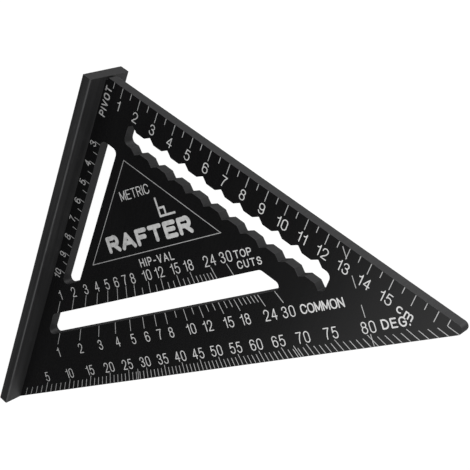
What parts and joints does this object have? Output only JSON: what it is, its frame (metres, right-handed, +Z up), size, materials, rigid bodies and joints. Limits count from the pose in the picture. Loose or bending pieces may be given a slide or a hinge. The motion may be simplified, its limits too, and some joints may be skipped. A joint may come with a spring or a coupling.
{
  "type": "rafter square",
  "caption": "Right-angled triangular layout square with a T-section fence, slotted blade and white scales for lengths, degrees and roof pitches.",
  "frame": {"origin": "middle of the fence's outer face, which the square stands on", "axes": "+X along the fence away from the pivot corner, +Y from the marked face of the blade to its plain face, +Z up along the ruler edge"},
  "size_m": [0.1836, 0.0228, 0.1853],
  "materials": {
    "black_anodised_blade": "black anodised, satin, faint lengthwise grain",
    "black_anodised_fence": "black anodised extrusion, drawn streaks along its length",
    "white_fill_fine": "thin white filling paint, matt",
    "white_fill_bold": "white filling paint, matt"
  },
  "bodies": {
    "root": {"blade": "black_anodised_blade", "fence": "black_anodised_fence", "ruler_ticks": "white_fill_fine", "ruler_numerals": "white_fill_bold", "ruler_unit": "white_fill_bold", "side_ticks": "white_fill_fine", "side_numerals": "white_fill_bold", "degree_ticks": "white_fill_fine", "degree_numerals": "white_fill_bold", "degree_word": "white_fill_bold", "common_ticks": "white_fill_fine", "common_numerals": "white_fill_bold", "common_word": "white_fill_bold", "hip_ticks": "white_fill_fine", "hip_numerals": "white_fill_bold", "hip_word": "white_fill_bold", "top_cut_words": "white_fill_bold", "panel_line": "white_fill_fine", "panel_title": "white_fill_bold", "panel_system": "white_fill_fine", "panel_sign": "white_fill_bold", "pivot_word": "white_fill_bold", "guide_line": "white_fill_fine"}
  },
  "joints": []
}
